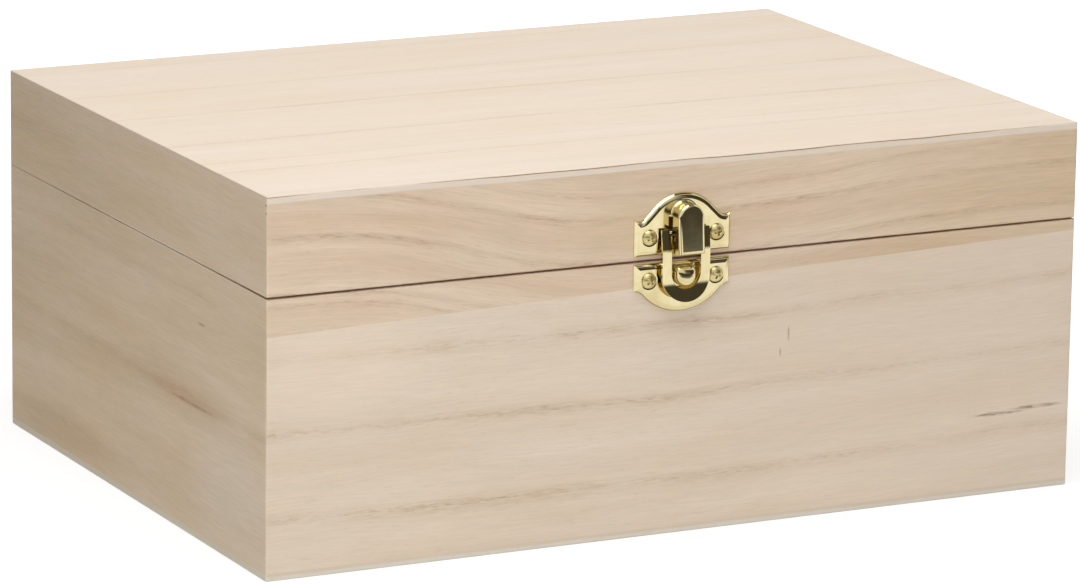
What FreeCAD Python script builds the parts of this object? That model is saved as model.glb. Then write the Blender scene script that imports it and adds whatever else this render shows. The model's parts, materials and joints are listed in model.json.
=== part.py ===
import FreeCAD, Part
import Sketcher
import math
import os
import re

# A hinged wooden box with a swing latch, in millimetres.
# +X runs along the front to the right, -Y faces the front, +Z is up.
# The origin is the middle of the bottom face.

doc = FreeCAD.newDocument("wooden_box")
Vector = FreeCAD.Vector

# Driving dimensions
SIZES = [
    ("box_width", 300, "length of the front, outside"),
    ("box_depth", 220, "front to back over the boards, outside"),
    ("box_height", 127, "bottom face to top face, lid shut"),
    ("wall_thick", 9, "thickness of the side boards"),
    ("panel_thick", 2.5, "thickness of the top and bottom panels"),
    ("corner_round", 0.8, "radius of the sanded upright corners"),
    ("panel_round", 0.5, "radius of the sanded panel edges"),
    ("base_height", 93.4, "height of the base's rim"),
    ("gap_front", 0.7, "saw gap between rim and lid at the front"),
    ("gap_back", 0.2, "saw gap between rim and lid at the back"),
    ("stave_left", 12.5, "depth of the front's upper stave at the left end"),
    ("stave_right", 3.6, "depth of the front's upper stave at the right end"),
    ("hinge_spread", 170, "distance between the two hinges"),
    ("hinge_length", 30, "length of a hinge leaf"),
    ("leaf_height", 12, "hinge axis to a leaf's far edge"),
    ("leaf_thick", 1, "thickness of a hinge leaf"),
    ("leaf_round", 1.5, "radius of a leaf's corners"),
    ("barrel_diameter", 3.4, "outside diameter of the rolled knuckles"),
    ("barrel_clear", 0.3, "knuckle to the boards behind it"),
    ("knuckle_gap", 0.3, "play between neighbouring knuckles"),
    ("pin_diameter", 1.7, "hinge pin"),
    ("pin_play", 0.04, "hinge pin to its bore, all round"),
    ("pin_head", 2.6, "diameter of the peened pin ends"),
    ("pin_head_thick", 0.5, "thickness of the peened pin ends"),
    ("hinge_screw_spread", 18, "distance between the two screws of a leaf"),
    ("hinge_screw_drop", 7.4, "hinge axis to the screws of a leaf"),
    ("hinge_screw_head", 4, "countersunk head of a hinge screw"),
    ("hinge_screw_shank", 2, "shank of a hinge screw"),
    ("hinge_screw_length", 7, "overall length of a hinge screw"),
    ("screw_play", 0.05, "screw to its hole, all round"),
    ("screw_tip", 1.6, "length of a screw's point"),
    ("latch_offset", -1, "latch's middle from the box's middle"),
    ("latch_width", 35.5, "width of both latch plates"),
    ("plate_rise", 1.3, "plate face above the wood"),
    ("plate_rim", 1.9, "width of the plates' turned-down rim"),
    ("rim_shoulder", 0.45, "how far in the rim's steep part ends"),
    ("rim_rise", 0.85, "rim's steep part above the wood"),
    ("rim_crest", 1, "how far in the rim's flatter part starts"),
    ("crest_rise", 1.15, "start of that part above the wood"),
    ("plate_land", 1.1, "width of the rim that sits on the wood"),
    ("sheet_thick", 0.7, "thickness of the pressed sheet"),
    ("lid_plate_edge", 1.6, "seam to the straight edge of the lid plate"),
    ("lid_plate_reach", 22.1, "seam to the top of the lid plate's arch"),
    ("catch_plate_edge", 0.9, "seam to the straight edge of the catch plate"),
    ("catch_plate_reach", 18, "seam to the bottom of the catch plate's arch"),
    ("lid_arch", 14.8, "radius of the lid plate's arch"),
    ("lid_flank", 4.8, "lid plate's straight flank between arch and cove"),
    ("lid_cove", 2.8, "lid plate's hollow between flank and corner"),
    ("catch_arch", 19, "radius of the catch plate's arch"),
    ("catch_flank", 1, "catch plate's straight flank between arch and cove"),
    ("catch_cove", 6, "catch plate's hollow between flank and corner"),
    ("housing_width", 9.6, "raised housing of the lid plate"),
    ("housing_rise", 8.4, "housing above the wood at its foot"),
    ("housing_lean", 1.5, "how far the housing's face leans back at its top"),
    ("housing_foot", 2.5, "seam to the foot of the housing"),
    ("housing_head", 19.3, "seam to the head of the housing"),
    ("housing_round", 1.2, "rounding of the housing's face"),
    ("housing_root", 0.8, "rounding where the housing leaves the plate"),
    ("window_rise", 5.7, "outer edge of the side windows above the wood"),
    ("window_head", 11, "seam to the head of the side windows"),
    ("slit_rise", 2.9, "outer edge of the slit over each window"),
    ("slit_head", 14.6, "seam to the head of that slit"),
    ("bail_width", 17.6, "outside width of the bail"),
    ("bail_slot", 10.8, "width of the bail's slot"),
    ("bail_slot_top", 11.2, "width between the arms at the pivot"),
    ("bail_thick", 0.9, "thickness of the bail"),
    ("bail_front", 3.8, "front of the bail's middle above the wood"),
    ("bail_eye", 5.2, "seam down to the centre of the bail's outer curve"),
    ("bail_slot_eye", 4.4, "seam down to the centre of the slot's curve"),
    ("bail_shoulder", 3.5, "seam up to the upper bend"),
    ("bail_knee", 8.2, "seam down to the lower bend"),
    ("bail_lift", 1.1, "how far the finger end is bent out"),
    ("bail_end", 1, "arm end above the pivot"),
    ("bend_round", 14, "radius of the bail's bends"),
    ("pivot_up", 9.5, "seam up to the bail's pivot"),
    ("pivot_out", 2.6, "bail's pivot above the wood"),
    ("tab_diameter", 1.2, "round pivot tabs of the bail"),
    ("tab_reach", 0.6, "tab end inside the housing wall"),
    ("bail_play", 0.6, "tab to the sill of its window"),
    ("nose_width", 7.8, "catch nose"),
    ("nose_rise", 5.5, "catch nose above the wood"),
    ("nose_top", 1.7, "seam down to the top of the nose"),
    ("nose_crown", 5.2, "seam down to the nose's foremost line"),
    ("nose_lean", 0.9, "how far the nose leans back from there to its top"),
    ("nose_round", 2.6, "rounding of the nose"),
    ("latch_screw_spread", 24.8, "distance between the screws of a latch plate"),
    ("lid_screw_up", 8, "seam up to the lid plate's screws"),
    ("catch_screw_down", 6.5, "seam down to the catch plate's screws"),
    ("latch_screw_head", 5, "domed head of a latch screw"),
    ("latch_screw_dome", 1.4, "height of the domed head"),
    ("latch_screw_rim", 0.4, "upright rim under the dome"),
    ("latch_screw_shank", 2.2, "shank of a latch screw"),
    ("latch_screw_length", 8, "latch screw under its head"),
    ("seat_diameter", 6.2, "dished seat round a latch screw"),
    ("seat_slope", 10, "slope of that seat in degrees"),
    ("hinge_cross_length", 2.4, "length of the slots in a hinge screw"),
    ("hinge_cross_width", 0.6, "width of the slots in a hinge screw"),
    ("hinge_cross_depth", 0.6, "depth of the slots in a hinge screw"),
    ("latch_cross_length", 2.9, "length of the slots in a latch screw"),
    ("latch_cross_width", 0.7, "width of the slots in a latch screw"),
    ("latch_cross_depth", 0.9, "depth of the slots in a latch screw"),
    ("hole_spare", 0.5, "depth of a pilot hole past the screw's point"),
    ("tool_margin", 5, "how far cutting shapes stand past the box"),
]
NAMES = {name for name, size, note in SIZES}

sheet = doc.addObject("Spreadsheet::Sheet", "dims")
for row, (name, size, note) in enumerate(SIZES, start=1):
    sheet.set(f"A{row}", note)
    sheet.set(f"B{row}", str(size))
    sheet.setAlias(f"B{row}", name)
doc.recompute()


def formula(text):
    """The text, with the name of each size pointed at its cell."""
    return re.sub(r"[a-z][a-z_]*", lambda word: "dims." + word[0] if word[0] in NAMES else word[0], text)


def number(text):
    """What a formula comes to."""
    return float(sheet.evalExpression(formula(text)))


# Formulas that several pieces share
HALF_WIDTH = "(box_width / 2)"
HALF_DEPTH = "(box_depth / 2)"
RIM = "base_height"
SEAM_FRONT = "(base_height + gap_front / 2)"
HINGE_AXIS_UP = "(base_height + gap_back / 2)"
BARREL_RADIUS = "(barrel_diameter / 2)"
HINGE_AXIS_OUT = "(barrel_diameter / 2 + barrel_clear)"
DIAGONAL = "sqrt(0.5)"
SEAT_DROP = "((seat_diameter / 2 - latch_screw_head / 2 - screw_play) * tan(seat_slope))"


# Sketching
def origin_plane(body, role):
    return next(item for item in body.Origin.OriginFeatures if item.Role == role)


def sketch_on(body, name, role, offset="0"):
    """A sketch on one of the body's own planes, moved along that plane's normal."""
    sketch = body.newObject("Sketcher::SketchObject", name)
    sketch.AttachmentSupport = (origin_plane(body, role), [""])
    sketch.MapMode = "FlatFace"
    sketch.setExpression("AttachmentOffset.Base.z", formula(offset))
    return sketch


def bind(sketch, constraint, text):
    """Add a dimension and tie it to its formula."""
    index = sketch.addConstraint(constraint)
    sketch.setExpression(f"Constraints[{index}]", formula(text))


def pin_point(sketch, curve, end, x, y):
    """Hold one end of a curve at a place given by two formulas."""
    for kind, axis, text in (("DistanceX", -2, x), ("DistanceY", -1, y)):
        if text == "0":
            sketch.addConstraint(Sketcher.Constraint("PointOnObject", curve, end, axis))
        else:
            bind(sketch, Sketcher.Constraint(kind, -1, 1, curve, end, number(text)), text)


def outline(sketch, corners):
    """Draw a closed outline.

    A corner is (x, y), and a line runs on to the next one, or (x, y, centre x, centre y, radius),
    and an arc of under a half circle does.
    """
    points = [Vector(number(corner[0]), number(corner[1]), 0) for corner in corners]
    ends = []
    for index, corner in enumerate(corners):
        start = points[index]
        stop = points[(index + 1) % len(points)]
        if len(corner) == 2:
            curve = sketch.addGeometry(Part.LineSegment(start, stop), False)
            ends.append((curve, 1, 2))
            continue
        centre = Vector(number(corner[2]), number(corner[3]), 0)
        circle = Part.Circle(centre, Vector(0, 0, 1), number(corner[4]))
        first = math.atan2(start.y - centre.y, start.x - centre.x)
        sweep = math.atan2(stop.y - centre.y, stop.x - centre.x) - first
        sweep = (sweep + math.pi) % (2 * math.pi) - math.pi
        low = first if sweep > 0 else first + sweep
        curve = sketch.addGeometry(Part.ArcOfCircle(circle, low, low + abs(sweep)), False)
        ends.append((curve, 1, 2) if sweep > 0 else (curve, 2, 1))
    for (curve, begin, end), (after, after_begin, after_end) in zip(ends, ends[1:] + ends[:1]):
        sketch.addConstraint(Sketcher.Constraint("Coincident", curve, end, after, after_begin))
    for (curve, begin, end), corner in zip(ends, corners):
        pin_point(sketch, curve, begin, corner[0], corner[1])
        if len(corner) == 5:
            bind(sketch, Sketcher.Constraint("Radius", curve, number(corner[4])), corner[4])


def circle(sketch, x, y, diameter):
    """Draw a circle by its centre and diameter."""
    shape = Part.Circle(Vector(number(x), number(y), 0), Vector(0, 0, 1), number(diameter) / 2)
    curve = sketch.addGeometry(shape, False)
    pin_point(sketch, curve, 3, x, y)
    bind(sketch, Sketcher.Constraint("Diameter", curve, number(diameter)), diameter)


def rectangle(left, low, right, high):
    return [(left, low), (right, low), (right, high), (left, high)]


# Features
def new_body(name, x="0", y="0", z="0", turn=None):
    """A body whose place follows the sheet."""
    body = doc.addObject("PartDesign::Body", name)
    if turn is not None:
        body.Placement = FreeCAD.Placement(Vector(0, 0, 0), turn)
    for axis, text in (("x", x), ("y", y), ("z", z)):
        body.setExpression(f"Placement.Base.{axis}", formula(text))
    return body


def pad(body, sketch, length, both_ways=False, backwards=False):
    feature = body.newObject("PartDesign::Pad", sketch.Name + "_pad")
    feature.Profile = sketch
    feature.setExpression("Length", formula(length))
    feature.SideType = "Symmetric" if both_ways else "One side"
    feature.Reversed = backwards
    doc.recompute()
    return feature


def pocket(body, sketch, length, both_ways=False, backwards=False):
    """Cut along the sketch's normal: inwards, or outwards when backwards is set."""
    feature = body.newObject("PartDesign::Pocket", sketch.Name + "_pocket")
    feature.Profile = sketch
    feature.setExpression("Length", formula(length))
    feature.SideType = "Symmetric" if both_ways else "One side"
    feature.Reversed = backwards
    doc.recompute()
    return feature


def sink_holes(body, sketch, diameter, sink_diameter, sink_angle, backwards=False):
    """Through holes at the sketch's circles, each with a conical seat."""
    feature = body.newObject("PartDesign::Hole", sketch.Name + "_sunk")
    feature.Profile = sketch
    feature.Threaded = False
    feature.DepthType = "ThroughAll"
    feature.setExpression("Diameter", formula(diameter))
    feature.HoleCutType = "Countersink"
    feature.HoleCutCustomValues = True
    feature.setExpression("HoleCutDiameter", formula(sink_diameter))
    feature.setExpression("HoleCutCountersinkAngle", formula(sink_angle))
    feature.Reversed = backwards
    doc.recompute()
    return feature


def loft(body, sections):
    """A ruled solid through like outlines."""
    feature = body.newObject("PartDesign::AdditiveLoft", sections[0].Name + "_loft")
    feature.Profile = sections[0]
    feature.Sections = sections[1:]
    feature.Ruled = True
    doc.recompute()
    return feature


def edges_where(feature, test):
    """Names of the edges whose middle passes the test."""
    names = []
    for index, edge in enumerate(feature.Shape.Edges, start=1):
        middle = edge.valueAt((edge.FirstParameter + edge.LastParameter) / 2)
        if test(edge, middle):
            names.append(f"Edge{index}")
    return names


def fillet(body, name, radius, test):
    """Round the edges of the body's last feature that pass the test."""
    base = body.Tip
    feature = body.newObject("PartDesign::Fillet", name)
    feature.Base = (base, edges_where(base, test))
    feature.setExpression("Radius", formula(radius))
    doc.recompute()
    return feature


def near(value, text):
    """Whether a measured place is where a formula says."""
    return abs(value - number(text)) < 0.02


def common(label, base, tool):
    """The part of one shape that lies inside another."""
    feature = doc.addObject("Part::Common", label)
    feature.Base = base
    feature.Tool = tool
    doc.recompute()
    return feature


# Boards, mitred at the corners and sanded round there
def board(name, half_length, reach, quarter_turns):
    """A full-height board with its outside face at -reach, turned about Z into its place."""
    turn = FreeCAD.Rotation(Vector(0, 0, 1), 90 * quarter_turns)
    body = new_body(name, turn=turn)
    plan = sketch_on(body, name + "_plan", "XY_Plane", "panel_thick")
    ease = f"(corner_round * (1 - {DIAGONAL}))"
    centre_y = f"-{reach} + corner_round"
    right = f"{half_length} - corner_round"
    left = f"-{half_length} + corner_round"
    outline(plan, [
        (left, f"-{reach}"),
        (right, f"-{reach}", right, centre_y, "corner_round"),
        (f"{half_length} - {ease}", f"-{reach} + {ease}"),
        (f"{half_length} - wall_thick", f"-{reach} + wall_thick"),
        (f"-{half_length} + wall_thick", f"-{reach} + wall_thick"),
        (f"-{half_length} + {ease}", f"-{reach} + {ease}", left, centre_y, "corner_round"),
    ])
    pad(body, plan, "box_height - 2 * panel_thick")
    return body


def pilot_holes(body, name, reach, places, diameter, depth):
    """Blind holes in a board's outside face, at places given as (x, z)."""
    sketch = sketch_on(body, name, "XZ_Plane", reach)
    for x, z in places:
        circle(sketch, x, z, diameter)
    pocket(body, sketch, depth)


front_board = board("front_board", HALF_WIDTH, HALF_DEPTH, 0)
right_board = board("right_board", HALF_DEPTH, HALF_WIDTH, 1)
back_board = board("back_board", HALF_WIDTH, HALF_DEPTH, 2)
left_board = board("left_board", HALF_DEPTH, HALF_WIDTH, 3)

latch_rows = [f"{SEAM_FRONT} + lid_screw_up", f"{SEAM_FRONT} - catch_screw_down"]
latch_columns = [f"latch_offset + {side} * latch_screw_spread / 2" for side in (-1, 1)]
latch_holes = [(column, row) for column in latch_columns for row in latch_rows]
pilot_holes(front_board, "latch_holes", HALF_DEPTH, latch_holes, "latch_screw_shank + 2 * screw_play",
            f"latch_screw_length - plate_rise + {SEAT_DROP} + hole_spare")

hinge_rows = [f"{HINGE_AXIS_UP} + hinge_screw_drop", f"{HINGE_AXIS_UP} - hinge_screw_drop"]
hinge_columns = [f"{hinge} * hinge_spread / 2 + {side} * hinge_screw_spread / 2"
                 for hinge in (-1, 1) for side in (-1, 1)]
hinge_holes = [(column, row) for column in hinge_columns for row in hinge_rows]
pilot_holes(back_board, "hinge_holes", HALF_DEPTH, hinge_holes, "hinge_screw_shank + 2 * screw_play",
            "hinge_screw_length - leaf_thick + hole_spare")

# The saw gap parts the shut box into base and lid, and is a little wider at the front
half_saw = f"({HALF_DEPTH} + tool_margin)"
saw_slope = "((gap_front - gap_back) / box_depth)"


def lid_edge(y):
    """Height of the lid's sawn edge at a place front to back."""
    return f"{RIM} + gap_back + {saw_slope} * ({HALF_DEPTH} - {y})"


below_saw = new_body("below_saw")
below_plan = sketch_on(below_saw, "below_saw_side", "YZ_Plane")
outline(below_plan, rectangle(f"-{half_saw}", "-tool_margin", half_saw, RIM))
pad(below_saw, below_plan, "box_width + 2 * tool_margin", both_ways=True)

above_saw = new_body("above_saw")
above_plan = sketch_on(above_saw, "above_saw_side", "YZ_Plane")
outline(above_plan, [
    (f"-{half_saw}", lid_edge(f"(0 - {half_saw})")),
    (half_saw, lid_edge(half_saw)),
    (half_saw, "box_height + tool_margin"),
    (f"-{half_saw}", "box_height + tool_margin"),
])
pad(above_saw, above_plan, "box_width + 2 * tool_margin", both_ways=True)

common("base_right_wall", right_board, below_saw)
common("base_back_wall", back_board, below_saw)
common("base_left_wall", left_board, below_saw)
common("lid_front_rail", front_board, above_saw)
common("lid_right_rail", right_board, above_saw)
common("lid_back_rail", back_board, above_saw)
common("lid_left_rail", left_board, above_saw)

# The front of the base is glued up from two staves along a slanted line
half_glue = f"({HALF_WIDTH} + tool_margin)"
glue_slope = "((stave_left - stave_right) / box_width)"


def glue_line(x):
    """Height of the glue line at a place along the front."""
    return f"{RIM} - stave_left + {glue_slope} * ({x} + {HALF_WIDTH})"


def stave_tool(name, far_edge):
    """The room between the glue line and a level far above or below it."""
    body = new_body(name)
    front = sketch_on(body, name + "_front", "XZ_Plane")
    outline(front, [
        (f"-{half_glue}", glue_line(f"(0 - {half_glue})")),
        (half_glue, glue_line(half_glue)),
        (half_glue, far_edge),
        (f"-{half_glue}", far_edge),
    ])
    pad(body, front, "box_depth + 2 * tool_margin", both_ways=True)
    return body


base_front = common("base_front", front_board, below_saw)
common("base_front_upper_stave", base_front, stave_tool("above_glue", "box_height + tool_margin"))
common("base_front_lower_stave", base_front, stave_tool("below_glue", "-tool_margin"))


# Top and bottom panels, flush with the boards
def panel(name, underside, rounded_level):
    body = new_body(name)
    plan = sketch_on(body, name + "_plan", "XY_Plane", underside)
    right = f"{HALF_WIDTH} - corner_round"
    back = f"{HALF_DEPTH} - corner_round"
    left = f"-{HALF_WIDTH} + corner_round"
    front = f"-{HALF_DEPTH} + corner_round"
    outline(plan, [
        (left, f"-{HALF_DEPTH}"),
        (right, f"-{HALF_DEPTH}", right, front, "corner_round"),
        (HALF_WIDTH, front),
        (HALF_WIDTH, back, right, back, "corner_round"),
        (right, HALF_DEPTH),
        (left, HALF_DEPTH, left, back, "corner_round"),
        (f"-{HALF_WIDTH}", back),
        (f"-{HALF_WIDTH}", front, left, front, "corner_round"),
    ])
    pad(body, plan, "panel_thick")
    fillet(body, name + "_edges", "panel_round", lambda edge, middle: near(middle.z, rounded_level))


panel("bottom_panel", "0", "0")
panel("top_panel", "box_height - panel_thick", "box_height")


# Screws: a turned profile about Z with the head's top side up, and a cross cut into it
def screw(name, profile, cross, place, turn):
    """One screw. The profile's corners are (radius, height), the cross is (length, width, depth, top)."""
    body = new_body(name, *place, turn=turn)
    side = sketch_on(body, name + "_side", "XZ_Plane")
    outline(side, profile)
    turned = body.newObject("PartDesign::Revolution", name + "_turned")
    turned.Profile = side
    turned.ReferenceAxis = (side, ["V_Axis"])
    turned.Angle = 360
    doc.recompute()
    length, width, depth, top = cross
    slots = sketch_on(body, name + "_slots", "XY_Plane", top)
    arm = f"({length} / 2)"
    flank = f"({width} / 2)"
    outline(slots, [
        (f"-{flank}", f"-{arm}"), (flank, f"-{arm}"), (flank, f"-{flank}"), (arm, f"-{flank}"),
        (arm, flank), (flank, flank), (flank, arm), (f"-{flank}", arm),
        (f"-{flank}", flank), (f"-{arm}", flank), (f"-{arm}", f"-{flank}"), (f"-{flank}", f"-{flank}"),
    ])
    pocket(body, slots, depth)
    return body


def group(label, bodies):
    """Like fasteners as one node of separate solids."""
    feature = doc.addObject("Part::Compound", label)
    feature.Links = bodies
    doc.recompute()
    return feature


latch_shank = "(latch_screw_shank / 2)"
latch_head = "(latch_screw_head / 2)"
dome_height = "(latch_screw_dome - latch_screw_rim)"
dome_radius = f"(({latch_head} * {latch_head} + {dome_height} * {dome_height}) / (2 * {dome_height}))"
LATCH_PROFILE = [
    ("0", "-latch_screw_length"),
    (latch_shank, "-latch_screw_length + screw_tip"),
    (latch_shank, "0"),
    (latch_head, "0"),
    (latch_head, "latch_screw_rim", "0", f"latch_screw_dome - {dome_radius}", dome_radius),
    ("0", "latch_screw_dome"),
]
LATCH_CROSS = ("latch_cross_length", "latch_cross_width", "latch_cross_depth", "latch_screw_dome")

hinge_shank = "(hinge_screw_shank / 2)"
hinge_head = "(hinge_screw_head / 2)"
HINGE_PROFILE = [
    ("0", "-hinge_screw_length"),
    (hinge_shank, "-hinge_screw_length + screw_tip"),
    (hinge_shank, f"-({hinge_head} - {hinge_shank})"),
    (hinge_head, "0"),
    ("0", "0"),
]
HINGE_CROSS = ("hinge_cross_length", "hinge_cross_width", "hinge_cross_depth", "0")
X_AXIS = Vector(1, 0, 0)
Z_AXIS = Vector(0, 0, 1)


def latch_screws(label, height, spins):
    """The two screws of a latch plate, each left at its own angle."""
    bodies = []
    for column, spin in zip(latch_columns, spins):
        turn = FreeCAD.Rotation(X_AXIS, 90) * FreeCAD.Rotation(Z_AXIS, spin)
        place = (column, f"-{HALF_DEPTH} - plate_rise + {SEAT_DROP}", height)
        bodies.append(screw(f"{label}_{len(bodies) + 1}", LATCH_PROFILE, LATCH_CROSS, place, turn))
    group(label, bodies)


def hinge_screws(label, height, spins):
    """The four screws of the leaves on one side of the hinge axis."""
    bodies = []
    for column, spin in zip(hinge_columns, spins):
        turn = FreeCAD.Rotation(X_AXIS, -90) * FreeCAD.Rotation(Z_AXIS, spin)
        place = (column, f"{HALF_DEPTH} + leaf_thick", height)
        bodies.append(screw(f"{label}_{len(bodies) + 1}", HINGE_PROFILE, HINGE_CROSS, place, turn))
    group(label, bodies)


latch_screws("latch_lid_screws", latch_rows[0], (25, 8))
latch_screws("latch_catch_screws", latch_rows[1], (38, 70))
hinge_screws("hinge_lid_screws", hinge_rows[0], (10, 55, 30, 80))
hinge_screws("hinge_base_screws", hinge_rows[1], (40, 15, 65, 5))


# Hinges: two leaves rolled about a pin, seen from the side with the back face of the box at y = 0
KNUCKLES = 5
knuckle_pitch = f"(hinge_length / {KNUCKLES})"
leaf_join = f"sqrt({BARREL_RADIUS} * {BARREL_RADIUS} - ({HINGE_AXIS_OUT} - leaf_thick) * ({HINGE_AXIS_OUT} - leaf_thick))"


def hinge_leaf(label, x, sign, own_knuckles):
    """A leaf that reaches up (sign 1) or down (sign -1) from the axis, with its own knuckles only."""
    body = new_body(label, x, HALF_DEPTH, HINGE_AXIS_UP)
    side = sketch_on(body, label + "_side", "YZ_Plane")
    axis_arc = (HINGE_AXIS_OUT, "0", BARREL_RADIUS)
    outline(side, [
        ("0", f"{sign} * leaf_height"),
        ("leaf_thick", f"{sign} * leaf_height"),
        ("leaf_thick", f"{sign} * {leaf_join}", *axis_arc),
        (f"{HINGE_AXIS_OUT} + {BARREL_RADIUS}", "0", *axis_arc),
        (HINGE_AXIS_OUT, f"{-sign} * {BARREL_RADIUS}", *axis_arc),
        ("barrel_clear", "0"),
        ("0", f"{sign} * {BARREL_RADIUS}"),
    ])
    pad(body, side, "hinge_length", both_ways=True)
    fillet(body, label + "_corners", "leaf_round", lambda edge, middle: near(middle.z, f"{sign} * leaf_height")
           and near(abs(middle.x), "hinge_length / 2"))
    bore = sketch_on(body, label + "_bore", "YZ_Plane")
    circle(bore, HINGE_AXIS_OUT, "0", "pin_diameter + 2 * pin_play")
    pocket(body, bore, "hinge_length + 2 * tool_margin", both_ways=True)
    notches = sketch_on(body, label + "_notches", "XZ_Plane")
    low = f"{sign} * {HINGE_AXIS_OUT}"
    high = f"{-sign} * ({BARREL_RADIUS} + tool_margin)"
    for index in range(KNUCKLES):
        if index in own_knuckles:
            continue
        left = f"-hinge_length / 2 + {index} * {knuckle_pitch} - knuckle_gap / 2"
        right = f"-hinge_length / 2 + {index + 1} * {knuckle_pitch} + knuckle_gap / 2"
        if index == 0:
            left = "-hinge_length / 2 - tool_margin"
        if index == KNUCKLES - 1:
            right = "hinge_length / 2 + tool_margin"
        outline(notches, rectangle(left, low, right, high))
    pocket(body, notches, "4 * barrel_diameter + 2 * tool_margin", both_ways=True)
    seats = sketch_on(body, label + "_seats", "XZ_Plane", "-leaf_thick")
    for side_sign in (-1, 1):
        circle(seats, f"{side_sign} * hinge_screw_spread / 2", f"{sign} * hinge_screw_drop",
               "hinge_screw_shank + 2 * screw_play")
    sink_holes(body, seats, "hinge_screw_shank + 2 * screw_play", "hinge_screw_head + 2 * screw_play", "90",
               backwards=True)
    return body


def hinge_pin(label, x):
    """A pin with a peened head at each end."""
    body = new_body(label, x, f"{HALF_DEPTH} + {HINGE_AXIS_OUT}", HINGE_AXIS_UP)
    side = sketch_on(body, label + "_side", "XZ_Plane")
    half = "(hinge_length / 2 + knuckle_gap / 2)"
    end = f"({half} + pin_head_thick)"
    radius = "pin_diameter / 2"
    outline(side, [
        (f"-{end}", "0"),
        (end, "0"),
        (end, "pin_head / 2"),
        (half, "pin_head / 2"),
        (half, radius),
        (f"-{half}", radius),
        (f"-{half}", "pin_head / 2"),
        (f"-{end}", "pin_head / 2"),
    ])
    turned = body.newObject("PartDesign::Revolution", label + "_turned")
    turned.Profile = side
    turned.ReferenceAxis = (side, ["H_Axis"])
    turned.Angle = 360
    doc.recompute()


for hand, place in (("left", "-hinge_spread / 2"), ("right", "hinge_spread / 2")):
    hinge_leaf(f"hinge_{hand}_base_leaf", place, -1, (0, 2, 4))
    hinge_leaf(f"hinge_{hand}_lid_leaf", place, 1, (1, 3))
    hinge_pin(f"hinge_{hand}_pin", place)


# Latch plates: pressed pans with a rim turned down to the wood.
# They are drawn with the latch's middle at x = 0, the seam at z = 0 and the wood at y = 0.
def plate_outline(name, sign, inset):
    """Straight edge, upright sides, coves, flanks and an arch, moved in by the inset."""
    side = f"(latch_width / 2 - {inset})"
    arch = f"({name}_arch - {inset})"
    cove = f"({name}_cove + {inset})"
    arch_z = f"({name}_plate_reach - {name}_arch)"
    cove_x = f"(({name}_arch + {name}_flank + {name}_cove) * {DIAGONAL})"
    cove_z = f"({arch_z} + ({name}_arch - {name}_flank + {name}_cove) * {DIAGONAL})"
    corner_z = f"({cove_z} - sqrt({cove} * {cove} - ({side} - {cove_x}) * ({side} - {cove_x})))"
    arch_end = f"({arch} * {DIAGONAL})"
    flank = f"({name}_flank * {DIAGONAL})"
    straight = f"{sign} * ({name}_plate_edge + {inset})"
    about_arch = ("0", f"{sign} * {arch_z}", arch)
    right_cove = (cove_x, f"{sign} * {cove_z}", cove)
    left_cove = (f"-{cove_x}", f"{sign} * {cove_z}", cove)
    return [
        (f"-{side}", straight),
        (side, straight),
        (side, f"{sign} * {corner_z}", *right_cove),
        (f"{arch_end} + {flank}", f"{sign} * ({arch_z} + {arch_end} - {flank})"),
        (arch_end, f"{sign} * ({arch_z} + {arch_end})", *about_arch),
        (f"-{arch_end}", f"{sign} * ({arch_z} + {arch_end})"),
        (f"-{arch_end} - {flank}", f"{sign} * ({arch_z} + {arch_end} - {flank})", *left_cove),
        (f"-{side}", f"{sign} * {corner_z}"),
    ]


def latch_plate(name, sign):
    """The pan itself: a loft up its rim, hollow behind."""
    label = f"latch_{name}_plate"
    body = new_body(label, "latch_offset", f"-{HALF_DEPTH}", SEAM_FRONT)
    sections = []
    for level, height, inset in (("foot", "0", "0"), ("shoulder", "rim_rise", "rim_shoulder"),
                                 ("crest", "crest_rise", "rim_crest"), ("face", "plate_rise", "plate_rim")):
        section = sketch_on(body, f"{label}_{level}", "XZ_Plane", height)
        outline(section, plate_outline(name, sign, inset))
        sections.append(section)
    doc.recompute()
    loft(body, sections)
    hollow = sketch_on(body, label + "_hollow", "XZ_Plane")
    outline(hollow, plate_outline(name, sign, "plate_land"))
    pocket(body, hollow, "plate_rise - sheet_thick", backwards=True)
    return body


def screw_seats(body, height):
    """A dished seat and a hole for each screw, backed by a boss that rests on the wood."""
    bosses = sketch_on(body, body.Name + "_bosses", "XZ_Plane")
    holes = sketch_on(body, body.Name + "_holes", "XZ_Plane", "plate_rise")
    hole_diameter = "latch_screw_shank + 2 * screw_play"
    for side in (-1, 1):
        column = f"{side} * latch_screw_spread / 2"
        circle(bosses, column, height, "seat_diameter")
        circle(holes, column, height, hole_diameter)
    pad(body, bosses, "plate_rise - sheet_thick")
    sink_holes(body, holes, hole_diameter, "seat_diameter", "180 - 2 * seat_slope")


def bullet(width, foot, head):
    """A flat foot, upright sides and a half-round head."""
    half = f"({width} / 2)"
    centre = f"({head} - {half})"
    arc = ("0", centre, half)
    return [
        (f"-{half}", foot),
        (half, foot),
        (half, centre, *arc),
        ("0", head, *arc),
        (f"-{half}", centre),
    ]


lid_plate = latch_plate("lid", 1)

housing = sketch_on(lid_plate, "housing", "XZ_Plane")
outline(housing, bullet("housing_width", "housing_foot", "housing_head"))
pad(lid_plate, housing, "housing_rise")

lean = sketch_on(lid_plate, "housing_lean", "YZ_Plane")
outline(lean, [
    ("-housing_rise", "housing_foot"),
    ("-housing_rise + housing_lean", "housing_head"),
    ("-housing_rise - tool_margin", "housing_head"),
    ("-housing_rise - tool_margin", "housing_foot"),
])
pocket(lid_plate, lean, "housing_width + 2 * tool_margin", both_ways=True)

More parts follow.
